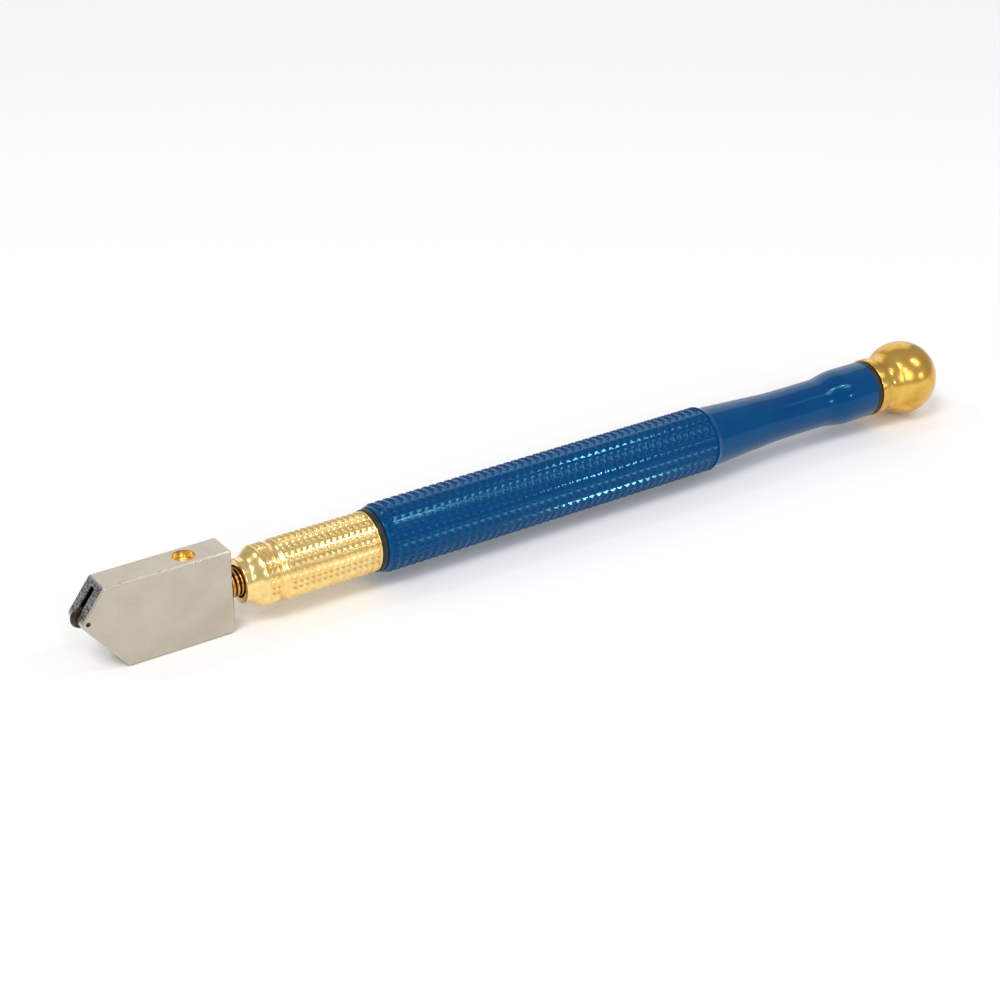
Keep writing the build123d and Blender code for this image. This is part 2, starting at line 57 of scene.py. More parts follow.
# ---- turned pieces --------------------------------------------------------------------------
KNURL_STEPS = (0.1, 0.42, 0.58, 0.9)          # valley, top of flank, top of flank, valley
BARREL_FLUTES = 36
BARREL_KNURL_START = 0.55
BARREL_KNURL_CELLS = 45
BARREL_KNURL_DEPTH = 0.26
GRIP_LENGTH = 69.3
GRIP_RADIUS = 6.0
GRIP_END_RADIUS = 5.5
GRIP_ROUND = 1.9
CONE_START = 70.2
CONE_START_RADIUS = 5.55
NECK_START = 86.5
NECK_RADIUS = 4.58
FLARE_START = 96.8
FLARE_END = 102.8
REAR_RADIUS = 5.28
RESERVOIR_RADIUS = 3.6
FRONT_SOCKET_DEPTH = 6.3
FRONT_SOCKET_RADIUS = 4.25
REAR_SOCKET_DEPTH = 7.8
REAR_SOCKET_RADIUS = 3.95

FERRULE_FLUTES = 30
FERRULE_KNURL_DEPTH = 0.24
NOSE_RADIUS = 3.75
NOSE_LIP_LENGTH = 1.0
NOSE_BORE_RADIUS = 2.8
NOSE_BORE_DEPTH = 3.0
GUIDE_RADIUS = 2.45
BAND_START = 3.65
BAND_CELLS = 2
BAND_PITCH = 0.85
BAND_RADIUS = 5.15
GROOVE_X = 5.8
GROOVE_RADIUS = 4.8
KNURL_START = 7.3
KNURL_CELLS = 15
FERRULE_RADIUS = 5.25
CHAMBER_START = 12.0
CHAMBER_RADIUS = 3.2
SEAT_START = 17.0
VALVE_BORE_RADIUS = 3.4
CLIP_START = 28.0
CLIP_END = 28.5
CLIP_GROOVE_RADIUS = 3.7
SPIGOT_RADIUS = 4.2
THREAD_PITCH = 1.0
THREAD_DEPTH = 0.4
THREAD_STEPS = 6

CAP_COLUMNS = 144
STUD_RADIUS = 3.9
STUD_LENGTH = 8.1
CAP_FLANGE_RADIUS = 5.45
CAP_FLANGE_LENGTH = 1.5
CAP_WAIST_RADIUS = 5.15
CAP_WAIST_X = 2.7
BALL_RADIUS = 7.0
BALL_START_X = 4.8                # from the flange's front face
BALL_STEPS = 56

SEAL_COLUMNS = 144
SEAL_ROUND = 0.35

SPRING_TURNS = 5
SPRING_STEPS_PER_TURN = 28
SPRING_WIRE_SIDES = 12
SPRING_WIRE_RADIUS = 0.2
SPRING_RADIUS = 1.75

# ---- head and stem, for the places of their finishes, painted shade and painted reflection ----
HEAD_TIP_HEIGHT = 9.4             # above the face that the head stands on
HEAD_TOP_SLANT = 4.2
HEAD_BOTTOM_SLANT = 7.4
HEAD_BEVEL = 0.25
STEM_RINGS_LENGTH = 3.3
# The stem's valleys get painted shade, from none at the crest radius to full at the shaded radius.
STEM_CREST_RADIUS = 2.36
STEM_SHADED_RADIUS = 2.22
HEAD_SCREW_BORE_RADIUS = 1.85
HEAD_SLOT_HALF_WIDTH = 0.625
GROUND_END = 6.3                  # of the ground upper face, from the head's upper corner

SOFT_STEPS = 6                    # in each softened corner of an outline
SHARP_TURN = math.radians(40)     # an outline bending more than this gets a sharp edge

AXIS_Z = (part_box("barrel")[0].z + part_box("barrel")[1].z) / 2


def plain(x, turns):
    """No relief: the surface follows the outline."""
    return 0 * turns


def corners(*points):
    """Stations through (x, radius, softness) corners; softness is the length cut off each side."""
    stations = []
    for number, (x, radius, softness) in enumerate(points):
        if softness == 0:
            stations.append((x, radius, plain))
            continue
        here = Vector((x, radius))
        before = here + (Vector(points[number - 1][:2]) - here).normalized() * softness
        after = here + (Vector(points[number + 1][:2]) - here).normalized() * softness
        for step in range(SOFT_STEPS + 1):
            t = step / SOFT_STEPS
            point = before.lerp(here, t).lerp(here.lerp(after, t), t)
            stations.append((point.x, point.y, plain))
    return stations


def swell(start, end, steps):
    """Stations of an S-shaped change of radius, level at both ends, which are left out."""
    stations = []
    for step in range(1, steps):
        t = step / steps
        rise = t * t * (3 - 2 * t)
        x = start[0] + (end[0] - start[0]) * t
        stations.append((x, start[1] + (end[1] - start[1]) * rise, plain))
    return stations


def knurled(start, cells, pitch, radius, flutes, depth, steps):
    """Stations of a knurl: rings and flutes of one depth, which leave rows of flat-topped
    pyramids. The radius is given for each x."""
    valley_end, top_start = steps[:2]
    def knurl(x, turns):
        along = 1 - 2 * abs((x - start) / pitch % 1 - 0.5)
        around = 1 - 2 * abs(turns * flutes % 1 - 0.5)
        rise = (np.minimum(along, around) / 2 - valley_end) / (top_start - valley_end)
        return depth * (1 - np.clip(rise, 0, 1))

    places = [cell + step for cell in range(cells) for step in steps] + [cells]
    return [(start + pitch * place, radius(start + pitch * place), knurl)
            for place in places]


def threaded(start, end, radius):
    """Stations of an outside screw thread that runs out at both ends."""
    def relief(x, turns):
        fade = min(1, (x - start) / THREAD_PITCH, (end - x) / THREAD_PITCH)
        flank = abs(2 * (((x - start) / THREAD_PITCH - turns) % 1) - 1)
        return THREAD_DEPTH * fade * flank

    count = round((end - start) / THREAD_PITCH * THREAD_STEPS)
    return [(start + (end - start) * n / count, radius, relief) for n in range(count + 1)]


def level(radius):
    return lambda x: radius


def grip_radius(x):
    """Radius over the barrel's knurl, drawn in at its rounded front end."""
    return GRIP_RADIUS - (GRIP_RADIUS - GRIP_END_RADIUS) * max(0, 1 - x / GRIP_ROUND)**2


def turned_piece(name, x_front, stations, turns, hollow=True):
    """Mesh turned about the tool's axis. A hollow piece's stations run round a closed loop;
    a solid one's start and end on the axis, where its rings close to a point."""
    rings = stations if hollow else stations[1:-1]
    turns = np.asarray(turns)
    angle = 2 * math.pi * turns
    count = len(turns)
    verts = []
    for x, radius, relief in rings:
        r = (radius - relief(x, turns)) * MM
        place = np.full(count, x_front + x * MM)
        verts.append(np.column_stack([place, r * np.cos(angle), AXIS_Z + r * np.sin(angle)]))
    verts = np.concatenate(verts)

    faces = []
    last = len(rings) if hollow else len(rings) - 1
    column = np.arange(count)
    for ring in range(last):
        low = ring * count + column
        low_next = ring * count + (column + 1) % count
        high = (ring + 1) % len(rings) * count + column
        high_next = (ring + 1) % len(rings) * count + (column + 1) % count
        faces.append(best_triangles(verts, low, low_next, high_next, high))
    faces = np.concatenate(faces)
    if not hollow:
        faces, verts = close_ends(faces, verts, x_front, stations, count)

    mesh = bpy.data.meshes.new(name)
    mesh.from_pydata(verts.tolist(), [], faces.tolist())
    mesh.validate()
    piece = bpy.data.objects.new(name, mesh)
    bpy.context.scene.collection.objects.link(piece)
    face_outwards(mesh)
    shade(mesh, rings, count)
    return piece


def best_triangles(verts, a, b, c, d):
    """Two triangles for each four-sided cell, split along the diagonal that climbs more."""
    radius = np.hypot(verts[:, 1], verts[:, 2] - AXIS_Z)
    slope_ac = abs(radius[a] - radius[c])
    slope_bd = abs(radius[b] - radius[d])
    along_ac = slope_ac >= slope_bd
    one = np.where(along_ac[:, None], np.column_stack([a, b, c]), np.column_stack([a, b, d]))
    two = np.where(along_ac[:, None], np.column_stack([a, c, d]), np.column_stack([b, c, d]))
    return np.concatenate([one, two])


def close_ends(faces, verts, x_front, stations, count):
    """Fans from the two end points on the axis to the first and the last ring."""
    ends = [[x_front + stations[n][0] * MM, 0, AXIS_Z] for n in (0, -1)]
    column = np.arange(count)
    following = (column + 1) % count
    first = np.full(count, len(verts))
    last = first + 1
    base = len(verts) - count
    front = np.column_stack([first, following, column])
    back = np.column_stack([last, base + column, base + following])
    return np.concatenate([faces, front, back]), np.concatenate([verts, ends])


def face_outwards(mesh):
    work = bmesh.new()
    work.from_mesh(mesh)
    bmesh.ops.recalc_face_normals(work, faces=work.faces)
    work.to_mesh(mesh)
    work.free()


def shade(mesh, rings, count):
    """Smooth shading, with sharp edges only round the rings where the outline turns a corner."""
    points = np.array([(x, radius) for x, radius, relief in rings])
    ahead = np.roll(points, -1, axis=0) - points
    heading = np.arctan2(ahead[:, 1], ahead[:, 0])
    bend = abs((heading - np.roll(heading, 1) + math.pi) % (2 * math.pi) - math.pi)
    sharp_ring = bend > SHARP_TURN
    ends = np.zeros(len(mesh.edges) * 2, np.int32)
    mesh.edges.foreach_get("vertices", ends)
    ring_of = np.minimum(ends // count, len(rings) - 1).reshape(-1, 2)
    same = ring_of[:, 0] == ring_of[:, 1]
    smooth = np.ones(len(mesh.polygons), bool)
    loops = np.zeros(len(mesh.polygons) * 3, np.int32)
    mesh.polygons.foreach_get("vertices", loops)
    knurl = np.array([relief.__name__ == "knurl" for x, radius, relief in rings] + [False])
    ring_of_corner = np.minimum(loops // count, len(rings)).reshape(-1, 3)
    smooth[knurl[ring_of_corner].all(axis=1)] = False
    mesh.polygons.foreach_set("use_smooth", smooth)
    sharp = mesh.attributes.new("sharp_edge", "BOOLEAN", "EDGE")
    sharp.data.foreach_set("value", same & sharp_ring[ring_of[:, 0]])


def even_turns(count):
    return np.arange(count) / count


def fluted_turns(flutes, steps):
    """Column places in turns, as finely spaced in each flute as its steps say."""
    return [(flute + step) / flutes for flute in range(flutes) for step in steps]


# ---- the pieces -----------------------------------------------------------------------------
def barrel_body():
    front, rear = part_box("barrel")
    length = (rear.x - front.x) / MM
    pitch = (GRIP_LENGTH - BARREL_KNURL_START) / BARREL_KNURL_CELLS
    outline = corners((0, FRONT_SOCKET_RADIUS, 0), (0, GRIP_END_RADIUS, 0.15),
                      (0.45, grip_radius(0.45), 0))
    outline += knurled(BARREL_KNURL_START, BARREL_KNURL_CELLS, pitch, grip_radius,
                       BARREL_FLUTES, BARREL_KNURL_DEPTH, KNURL_STEPS)
    outline += corners((GRIP_LENGTH + 0.05, GRIP_RADIUS - 0.02, 0),
                       (CONE_START, CONE_START_RADIUS, 0.5),
                       (NECK_START, NECK_RADIUS, 2.5), (FLARE_START, NECK_RADIUS, 0))
    outline += swell((FLARE_START, NECK_RADIUS), (FLARE_END, REAR_RADIUS), 16)
    outline += corners((FLARE_END, REAR_RADIUS, 0), (length, REAR_RADIUS, 0.25),
                       (length, REAR_SOCKET_RADIUS, 0),
                       (length - REAR_SOCKET_DEPTH, REAR_SOCKET_RADIUS, 0),
                       (length - REAR_SOCKET_DEPTH, RESERVOIR_RADIUS, 0),
                       (FRONT_SOCKET_DEPTH, RESERVOIR_RADIUS, 0),
                       (FRONT_SOCKET_DEPTH, FRONT_SOCKET_RADIUS, 0))
    turns = fluted_turns(BARREL_FLUTES, KNURL_STEPS)
    return turned_piece("barrel_body", front.x, outline, turns)


def ferrule_body():
    front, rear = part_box("front_ferrule")
    length = (rear.x - front.x) / MM
    knurl_end = (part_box("ferrule_seal")[0].x - front.x) / MM
    pitch = (knurl_end - 0.35 - KNURL_START) / KNURL_CELLS
    outline = corners((0, NOSE_BORE_RADIUS, 0), (0, NOSE_RADIUS, 0.25),
                      (NOSE_LIP_LENGTH, NOSE_RADIUS, 0))
    outline += swell((NOSE_LIP_LENGTH, NOSE_RADIUS), (BAND_START - 0.15, BAND_RADIUS), 16)
    outline += knurled(BAND_START, BAND_CELLS, BAND_PITCH, level(BAND_RADIUS), FERRULE_FLUTES,
                       FERRULE_KNURL_DEPTH, KNURL_STEPS)
    band_end = BAND_START + BAND_CELLS * BAND_PITCH
    outline += corners((band_end + 0.1, BAND_RADIUS - 0.05, 0),
                       (GROOVE_X, GROOVE_RADIUS, 0.25), (GROOVE_X + 0.4, GROOVE_RADIUS, 0))
    outline += swell((GROOVE_X + 0.4, GROOVE_RADIUS), (KNURL_START - 0.1, FERRULE_RADIUS), 8)
    outline += knurled(KNURL_START, KNURL_CELLS, pitch, level(FERRULE_RADIUS), FERRULE_FLUTES,
                       FERRULE_KNURL_DEPTH, KNURL_STEPS)
    outline += corners((knurl_end - 0.3, FERRULE_RADIUS - 0.02, 0),
                       (knurl_end, FERRULE_RADIUS - 0.02, 0.12),
                       (knurl_end, SPIGOT_RADIUS, 0))
    outline += threaded(knurl_end + 0.6, length - 0.4, SPIGOT_RADIUS)
    outline += corners((length, SPIGOT_RADIUS, 0.2), (length, VALVE_BORE_RADIUS, 0),
                       (CLIP_END, VALVE_BORE_RADIUS, 0), (CLIP_END, CLIP_GROOVE_RADIUS, 0),
                       (CLIP_START, CLIP_GROOVE_RADIUS, 0), (CLIP_START, VALVE_BORE_RADIUS, 0),
                       (SEAT_START, VALVE_BORE_RADIUS, 0), (SEAT_START, CHAMBER_RADIUS, 0),
                       (CHAMBER_START, CHAMBER_RADIUS, 0), (CHAMBER_START, GUIDE_RADIUS, 0),
                       (NOSE_BORE_DEPTH, GUIDE_RADIUS, 0), (NOSE_BORE_DEPTH, NOSE_BORE_RADIUS, 0))
    turns = fluted_turns(FERRULE_FLUTES, KNURL_STEPS)
    return turned_piece("ferrule_body", front.x, outline, turns)


def ball_cap_body():
    front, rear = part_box("ball_cap")
    face = STUD_LENGTH
    middle = (rear.x - front.x) / MM - BALL_RADIUS
    ball_start = face + BALL_START_X
    first = math.acos((ball_start - middle) / BALL_RADIUS)
    outline = corners((0, 0, 0), (0, STUD_RADIUS - THREAD_DEPTH, 0))
    outline += threaded(0.4, face - 0.6, STUD_RADIUS)
    outline += corners((face, STUD_RADIUS - THREAD_DEPTH / 2, 0), (face, CAP_FLANGE_RADIUS, 0.25),
                       (face + CAP_FLANGE_LENGTH, CAP_FLANGE_RADIUS, 0.25),
                       (face + CAP_WAIST_X, CAP_WAIST_RADIUS, 0.6),
                       (ball_start, BALL_RADIUS * math.sin(first), 0))
    for step in range(1, BALL_STEPS):
        angle = first * (1 - step / BALL_STEPS)
        x = middle + BALL_RADIUS * math.cos(angle)
        outline.append((x, BALL_RADIUS * math.sin(angle), plain))
    outline += corners((middle + BALL_RADIUS, 0, 0))
    return turned_piece("ball_cap_body", front.x, outline, even_turns(CAP_COLUMNS), False)


def seal_ring(node, name):
    """Rubber ring with rounded outer edges, as wide as its CAD node."""
    front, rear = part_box(node)
    width = (rear.x - front.x) / MM
    outer = (rear.y - front.y) / 2 / MM
    inner = bore_radius(node) / MM
    outline = corners((0, inner, 0), (0, outer, SEAL_ROUND), (width, outer, SEAL_ROUND),
                      (width, inner, 0))
    return turned_piece(name, front.x, outline, even_turns(SEAL_COLUMNS))


def bore_radius(node):
    """Smallest distance of a CAD node's surface from the tool's axis."""
    return min(math.hypot(v.co.y, v.co.z - AXIS_Z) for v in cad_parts[node].data.vertices)


def spring_coil():
    """Valve spring as a wound wire with closed ends."""
    front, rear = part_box("valve_spring")
    start = front.x + SPRING_WIRE_RADIUS * MM
    rise = rear.x - front.x - 2 * SPRING_WIRE_RADIUS * MM
    steps = SPRING_TURNS * SPRING_STEPS_PER_TURN
    sides = np.arange(SPRING_WIRE_SIDES) * 2 * math.pi / SPRING_WIRE_SIDES
    verts = []
    for step in range(steps + 1):
        angle = 2 * math.pi * step / SPRING_STEPS_PER_TURN
        radius = (SPRING_RADIUS + SPRING_WIRE_RADIUS * np.cos(sides)) * MM
        x = start + rise * step / steps + SPRING_WIRE_RADIUS * MM * np.sin(sides)
        y = radius * math.cos(angle)
        verts.append(np.column_stack([x, y, AXIS_Z + radius * math.sin(angle)]))
    faces = []
    for step in range(steps):
        for side in range(SPRING_WIRE_SIDES):
            low = step * SPRING_WIRE_SIDES
            following = (side + 1) % SPRING_WIRE_SIDES
            faces.append([low + side, low + following, low + SPRING_WIRE_SIDES + following,
                          low + SPRING_WIRE_SIDES + side])
    last = steps * SPRING_WIRE_SIDES
    faces.append(list(range(SPRING_WIRE_SIDES)))
    faces.append(list(range(last, last + SPRING_WIRE_SIDES)))
    mesh = bpy.data.meshes.new("spring_coil")
    mesh.from_pydata(np.concatenate(verts).tolist(), [], faces)
    face_outwards(mesh)
    mesh.polygons.foreach_set("use_smooth", np.ones(len(mesh.polygons), bool))
    piece = bpy.data.objects.new("spring_coil", mesh)
    bpy.context.scene.collection.objects.link(piece)
    return piece


# ---- materials --------------------------------------------------------------------------------
def linear(red, green, blue):
    """Scene-linear colour of a display colour given from 0 to 255."""
    def decode(level):
        level /= 255
        return level / 12.92 if level <= 0.04045 else ((level + 0.055) / 1.055)**2.4
    return decode(red), decode(green), decode(blue), 1


def material(name, colour, metallic, roughness, **sockets):
    made = bpy.data.materials.new(name)
    made.use_nodes = True
    shader = made.node_tree.nodes["Principled BSDF"]
    shader.inputs["Base Color"].default_value = colour
    shader.inputs["Metallic"].default_value = metallic
    shader.inputs["Roughness"].default_value = roughness
    for socket, value in sockets.items():
        shader.inputs[socket.replace("_", " ")].default_value = value
    return made


def add_node(made, kind, **inputs):
    node = made.node_tree.nodes.new(kind)
    for name, value in inputs.items():
        node.inputs[name].default_value = value
    return node


def link(made, source, target):
    made.node_tree.links.new(source, target)


def calc(made, operation, first, second=0.0):
    """One arithmetic node; each term is a number or another node's output."""
    node = made.node_tree.nodes.new("ShaderNodeMath")
    node.operation = operation
    for socket, term in zip(node.inputs, (first, second)):
        if isinstance(term, (int, float)):
            socket.default_value = term
        else:
            link(made, term, socket)
    return node.outputs[0]


def noise(made, scale, stretch=(1, 1, 1), detail=3):
    """Noise in the piece's own space; scale is in features per metre."""
    place = add_node(made, "ShaderNodeTexCoord")
    mapping = add_node(made, "ShaderNodeMapping", Scale=stretch)
    texture = add_node(made, "ShaderNodeTexNoise", Scale=scale, Detail=detail)
    link(made, place.outputs["Object"], mapping.inputs["Vector"])
    link(made, mapping.outputs[0], texture.inputs["Vector"])
    return texture.outputs[0]


def ranged(made, source, low_in, high_in, low_out, high_out):
    node = add_node(made, "ShaderNodeMapRange")
    for name, value in (("From Min", low_in), ("From Max", high_in),
                        ("To Min", low_out), ("To Max", high_out)):
        node.inputs[name].default_value = value
    link(made, source, node.inputs["Value"])
    return node.outputs[0]


def mixed(made, factor, first, second):
    """Colour mix; each colour is a value or another node's output."""
    node = made.node_tree.nodes.new("ShaderNodeMix")
    node.data_type = "RGBA"
    link(made, factor, node.inputs["Factor"])
    for socket, colour in ((node.inputs[6], first), (node.inputs[7], second)):
        if isinstance(colour, tuple):
            socket.default_value = colour
        else:
            link(made, colour, socket)
    return node.outputs[2]


def set_input(made, socket, source):
    link(made, source, made.node_tree.nodes["Principled BSDF"].inputs[socket])


def bump(made, height, depth):
    """Bump from a height output; depth is in metres."""
    node = add_node(made, "ShaderNodeBump", Strength=1.0, Distance=depth)
    link(made, height, node.inputs["Height"])
    set_input(made, "Normal", node.outputs[0])


def plated(name, colour, shade_colour, low_rough, high_rough, scale=900, depth=2e-6):
    """Plated or plain metal with faint clouding of its colour and gloss."""
    made = material(name, colour, 1.0, low_rough)
    clouds = noise(made, scale)
    set_input(made, "Base Color", mixed(made, ranged(made, clouds, 0.35, 0.7, 0, 1),
                                        colour, shade_colour))
    set_input(made, "Roughness", ranged(made, clouds, 0.3, 0.7, low_rough, high_rough))
    bump(made, noise(made, scale * 12), depth)
    return made


def nickel_head():
    """Satin nickel, with the ground upper face, painted shade in the slot and a painted reflection
    of the brass screw on the bore's walls.
    """
    made = material("nickel_head", linear(214, 208, 198), 1.0, 0.32)
    place = add_node(made, "ShaderNodeTexCoord")
    split = add_node(made, "ShaderNodeSeparateXYZ")
    link(made, place.outputs["Object"], split.inputs[0])
    x, y, z = split.outputs
    side = calc(made, "ABSOLUTE", y)

    low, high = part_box("cutter_head")
    front = low.x
    slant = Vector((-(high.z - HEAD_TIP_HEIGHT * MM), HEAD_TOP_SLANT * MM)).normalized()
    corner = (front + HEAD_TOP_SLANT * MM, high.z)
    outward = plane_distance(made, x, z, corner, slant)
    down = plane_distance(made, x, z, corner, Vector((-slant.y, slant.x)))
    on_face = band(made, outward, -0.03 * MM, MM)
    between_bevels = band(made, side, -MM, high.y - HEAD_BEVEL * MM)
    along = band(made, down, 0.35 * MM, GROUND_END * MM)
    ground = calc(made, "MULTIPLY", calc(made, "MULTIPLY", on_face, between_bevels), along)

    # Mask of the slot's inside, which gets painted shade.
    beside = band(made, side, -MM, HEAD_SLOT_HALF_WIDTH * MM + 1e-5)
    in_tip = band(made, x, front - MM, front + 6 * MM)
    lower_corner = (front + HEAD_BOTTOM_SLANT * MM, low.z)
    lower_slant = Vector((-HEAD_TIP_HEIGHT, -HEAD_BOTTOM_SLANT)).normalized()
    under = plane_distance(made, x, z, lower_corner, lower_slant)
    inside = calc(made, "MULTIPLY", band(made, outward, -MM * 6, -0.03 * MM),
                  band(made, under, -MM * 20, -0.03 * MM))
    inside = calc(made, "MULTIPLY", inside, band(made, z, 0.0, high.z - 0.05 * MM))
    slot = calc(made, "MULTIPLY", calc(made, "MULTIPLY", beside, in_tip), inside)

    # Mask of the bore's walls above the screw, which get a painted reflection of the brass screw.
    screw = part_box("head_screw")
    screw_x = (screw[0].x + screw[1].x) / 2
    away = calc(made, "SQRT", calc(made, "ADD",
                                   calc(made, "POWER", calc(made, "SUBTRACT", x, screw_x), 2.0),
                                   calc(made, "POWER", y, 2.0)))
    in_bore = band(made, away, -MM, HEAD_SCREW_BORE_RADIUS * MM + 1e-5)
    below_face = band(made, z, 0.0, high.z - 0.12 * MM)
    bore = calc(made, "MULTIPLY", in_bore, below_face)

    brushed = noise(made, 2600, (0.12, 1, 1))
    clouds = noise(made, 260)
    grit = noise(made, 3200, detail=3)
    colour = mixed(made, ranged(made, clouds, 0.3, 0.7, 0, 1),
                   linear(196, 188, 174), linear(188, 179, 163))
    ground_colour = mixed(made, ranged(made, grit, 0.4, 0.6, 0, 1),
                          linear(62, 64, 76), linear(186, 184, 184))
    colour = mixed(made, ground, colour, ground_colour)
    # Painted shade: the slot's inside is painted near black.
    colour = mixed(made, slot, colour, linear(22, 19, 18))
    # Painted reflection: the bore's nickel walls are painted in the brass screw's colour.
    colour = mixed(made, bore, colour, linear(252, 226, 158))
    set_input(made, "Base Color", colour)
    rough = ranged(made, brushed, 0.3, 0.7, 0.26, 0.36)
    rough = calc(made, "ADD", rough, calc(made, "MULTIPLY", ground, 0.16))
    set_input(made, "Roughness", rough)
    relief = calc(made, "ADD", calc(made, "MULTIPLY", grit, calc(made, "MULTIPLY", ground, 12.0)),
                  calc(made, "MULTIPLY", brushed, 0.12))
    bump(made, relief, 2e-6)
    return made


def plane_distance(made, x, z, corner, normal):
    """Signed distance in the XZ plane from a line through corner, along its normal."""
    dx = calc(made, "MULTIPLY", calc(made, "SUBTRACT", x, corner[0]), normal.x)
    dz = calc(made, "MULTIPLY", calc(made, "SUBTRACT", z, corner[1]), normal.y)
    return calc(made, "ADD", dx, dz)


def band(made, value, low, high):
    """1 where the value lies between low and high, otherwise 0."""
    above = calc(made, "GREATER_THAN", value, low)
    return calc(made, "MULTIPLY", above, calc(made, "LESS_THAN", value, high))


def stem_bronze():
    """Turned bronze, with painted shade between the stem's ridges."""
    made = plated("stem_bronze", linear(226, 176, 96), linear(190, 134, 62), 0.18, 0.3)
    place = add_node(made, "ShaderNodeTexCoord")
    split = add_node(made, "ShaderNodeSeparateXYZ")
    link(made, place.outputs["Object"], split.inputs[0])
    x, y, z = split.outputs
    across = calc(made, "POWER", y, 2.0)
    upward = calc(made, "POWER", calc(made, "SUBTRACT", z, AXIS_Z), 2.0)
    radius = calc(made, "SQRT", calc(made, "ADD", across, upward))
    low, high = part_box("valve_stem")
    shaft_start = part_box("cutter_head")[1].x
    ringed = band(made, x, shaft_start, shaft_start + STEM_RINGS_LENGTH * MM)
    valley_shade = ranged(made, radius, STEM_CREST_RADIUS * MM, STEM_SHADED_RADIUS * MM, 0, 1)
    shader = made.node_tree.nodes["Principled BSDF"]
    bright = shader.inputs["Base Color"].links[0].from_socket
    # Painted shade: the valleys between the stem's ridges are painted dark brown.
    set_input(made, "Base Color", mixed(made, calc(made, "MULTIPLY", ringed, valley_shade),
                                        bright, linear(52, 28, 14)))
    return made


def blue_lacquer():
    made = material("blue_lacquer", linear(0, 60, 112), 0.0, 0.1, Specular_IOR_Level=0.4,
                    Specular_Tint=(0.2, 0.85, 1, 1))
    clouds = noise(made, 160)
    set_input(made, "Base Color", mixed(made, ranged(made, clouds, 0.3, 0.7, 0, 1),
                                        linear(0, 62, 114), linear(0, 54, 108)))
    set_input(made, "Roughness", ranged(made, clouds, 0.3, 0.7, 0.08, 0.14))
    bump(made, noise(made, 1400, detail=2), 2e-6)
    return made


def rubber():
    made = material("rubber_black", linear(26, 20, 19), 0.0, 0.45)
    clouds = noise(made, 2500)
    set_input(made, "Base Color", mixed(made, ranged(made, clouds, 0.3, 0.7, 0, 1),
                                        linear(13, 9, 8), linear(26, 17, 14)))
    set_input(made, "Roughness", ranged(made, clouds, 0.3, 0.7, 0.35, 0.55))
    bump(made, noise(made, 9000), 4e-6)
    return made


def felt():
    made = material("felt_cream", linear(208, 192, 160), 0.0, 0.9, Sheen_Weight=0.4)
    fibres = noise(made, 12000, (0.2, 1, 1))
    set_input(made, "Base Color", mixed(made, fibres, linear(180, 160, 125),
                                        linear(225, 212, 182)))
    bump(made, fibres, 3e-5)
    return made


def acetal():
    made = material("acetal_cream", linear(226, 220, 204), 0.0, 0.4,
                    Subsurface_Weight=0.1, Subsurface_Scale=0.001)
    grain = noise(made, 3000)
    set_input(made, "Roughness", ranged(made, grain, 0.3, 0.7, 0.32, 0.5))
    set_input(made, "Base Color", mixed(made, grain, linear(218, 211, 194),
                                        linear(234, 229, 215)))
    bump(made, grain, 2e-6)
    return made


def paint(name, made):
    """Gives a CAD node or a piece one material."""
    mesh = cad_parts[name].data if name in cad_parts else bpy.data.objects[name].data
    mesh.materials.clear()
    mesh.materials.append(made)


# ---- studio -----------------------------------------------------------------------------------
CAMERA_TARGET = Vector((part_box("barrel")[0].x + 0.025565, 0, AXIS_Z + 0.00006))
CAMERA_DISTANCE = 0.37232
CAMERA_AZIMUTH = -34.09
CAMERA_ELEVATION = 27.27
CAMERA_ROLL = 0.1
CAMERA_LENS = 77.8
FLOOR_HALF_SIZE = 3.0


def studio_camera():
    azimuth = math.radians(CAMERA_AZIMUTH)
    elevation = math.radians(CAMERA_ELEVATION)
    back = Vector((math.sin(azimuth) * math.cos(elevation),
                   -math.cos(azimuth) * math.cos(elevation), math.sin(elevation)))
    data = bpy.data.cameras.new("camera")
    data.lens = CAMERA_LENS
    data.sensor_width = 36
    data.clip_start = 0.01
    data.clip_end = 20
    camera = bpy.data.objects.new("camera", data)
    bpy.context.scene.collection.objects.link(camera)
    turn = back.to_track_quat("Z", "Y").to_matrix().to_4x4()
    roll = Matrix.Rotation(math.radians(CAMERA_ROLL), 4, "Z")
    place = Matrix.Translation(CAMERA_TARGET + back * CAMERA_DISTANCE)
    camera.matrix_world = place @ turn @ roll
    bpy.context.scene.camera = camera


def studio_floor():
    half = FLOOR_HALF_SIZE
    mesh = bpy.data.meshes.new("floor")
    mesh.from_pydata([(-half, -half, 0), (half, -half, 0), (half, half, 0), (-half, half, 0)],
                     [], [(0, 1, 2, 3)])
    floor = bpy.data.objects.new("floor", mesh)
    bpy.context.scene.collection.objects.link(floor)
    made = material("floor_white", linear(250, 250, 250), 0.0, 0.9)
    set_input(made, "Roughness", ranged(made, noise(made, 20), 0, 1, 0.85, 0.95))
    mesh.materials.append(made)


def softbox(name, location, size, power):
    data = bpy.data.lights.new(name, "AREA")
    data.shape = "RECTANGLE"
    data.size, data.size_y = size
    data.energy = power
    light = bpy.data.objects.new(name, data)
    light.location = location
    light.rotation_mode = "QUATERNION"
    light.rotation_quaternion = Vector(location).to_track_quat("Z", "Y")
    bpy.context.scene.collection.objects.link(light)


SPARKS = ((0.6, -0.5, 1.15), (0.75, -1.1, 0.38), (-0.3, -0.9, 1.0), (-0.8, -0.9, 0.5),
          (-0.7, 0.5, 1.0))


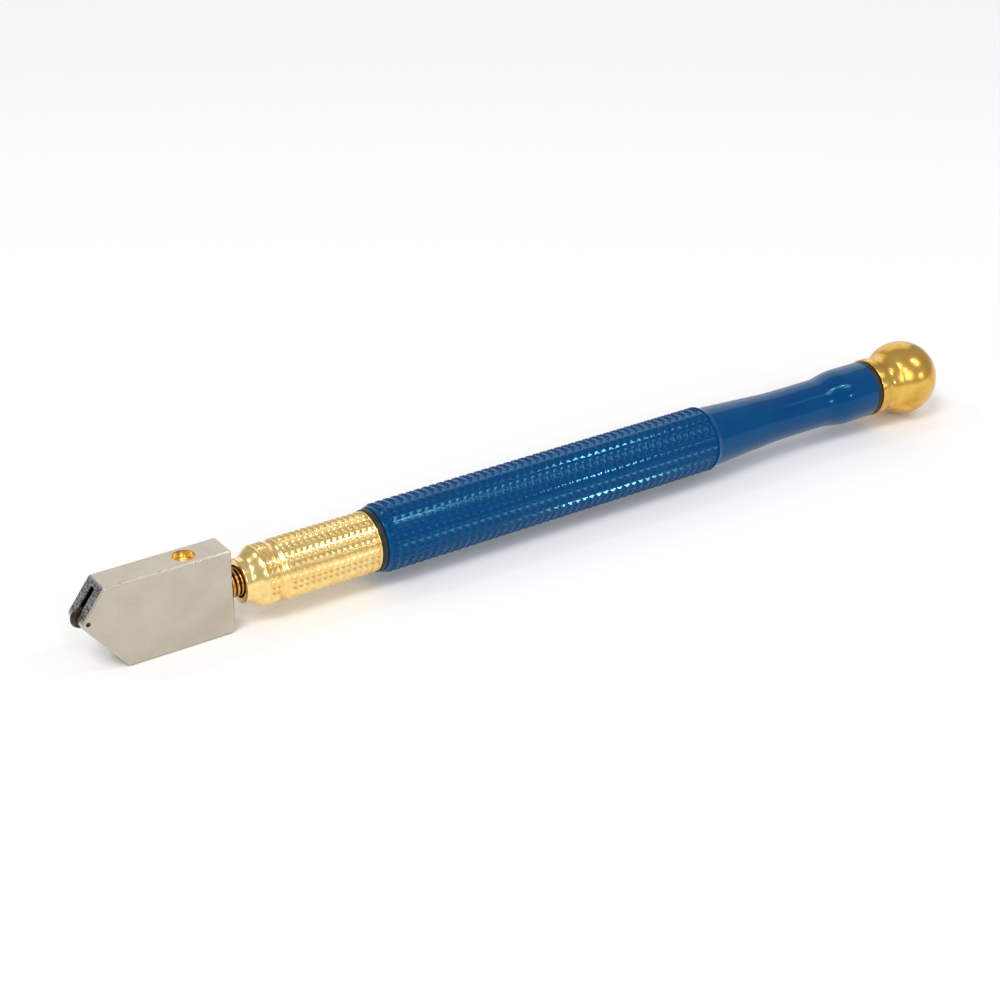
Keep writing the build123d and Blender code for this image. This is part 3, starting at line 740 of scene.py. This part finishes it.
def studio_lights():
    world = bpy.data.worlds.new("studio")
    world.use_nodes = True
    background = world.node_tree.nodes["Background"]
    background.inputs["Color"].default_value = (1, 1, 1, 1)
    background.inputs["Strength"].default_value = 0.5
    bpy.context.scene.world = world
    softbox("key", (-0.675, -0.375, 1.125), (0.45, 0.45), 6.6)
    softbox("fill", (-0.225, -1.425, 0.75), (0.6, 0.6), 4.0)
    softbox("back", (0.75, 1.11, 0.69), (1.2, 1.2), 3.0)
    softbox("edge", (0.795, -0.675, 1.08), (0.3, 0.3), 1.3)
    for number, (x, y, z) in enumerate(SPARKS):
        softbox(f"spark_{number}", (x, y, z), (0.05, 0.05), 1.0)


def place(piece, node, body, slot, made):
    """Puts a looks piece in its CAD node's place: body and material. The slot argument is not
    used.
    """
    paint(piece.name, made)
    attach(piece, body)
    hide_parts(node)


nickel = nickel_head()
gold = plated("gold_plate", linear(252, 226, 160), linear(240, 202, 122), 0.16, 0.26)
polished = plated("gold_polished", linear(232, 190, 98), linear(208, 158, 68), 0.18, 0.3, 300)
brass = plated("brass", linear(252, 220, 142), linear(238, 190, 104), 0.14, 0.24)
carbide = plated("carbide", linear(92, 78, 70), linear(52, 42, 38), 0.25, 0.4, 2500)
steel = plated("tool_steel", linear(70, 66, 64), linear(40, 36, 34), 0.3, 0.45)
spring_steel = plated("spring_steel", linear(190, 188, 184), linear(150, 146, 140), 0.2, 0.32)
blue = blue_lacquer()
black = rubber()

place(barrel_body(), "barrel", "handle", "blue_lacquer", blue)
place(ferrule_body(), "front_ferrule", "handle", "gold_plate", gold)
place(ball_cap_body(), "ball_cap", "ball_cap", "gold_plate", polished)
place(seal_ring("ferrule_seal", "ferrule_seal_ring"), "ferrule_seal", "handle", "rubber", black)
place(seal_ring("cap_seal", "cap_seal_ring"), "cap_seal", "cap_seal", "rubber", black)
spring = spring_coil()
place(spring, "valve_spring", "handle", "spring_steel", spring_steel)
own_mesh(spring)

paint("cutter_head", nickel)
paint("cutting_wheel", carbide)
paint("wheel_axle", steel)
paint("head_screw", brass)
paint("valve_stem", stem_bronze())
paint("oil_wick", felt())
for node in ("head_o_ring", "stem_o_ring", "seat_o_ring", "poppet_seal"):
    paint(node, black)
paint("valve_seat", brass)
paint("valve_poppet", brass)
paint("spring_retainer", acetal())
paint("retainer_clip", spring_steel)

studio_camera()
studio_floor()
studio_lights()
bpy.context.scene.view_settings.view_transform = "Standard"
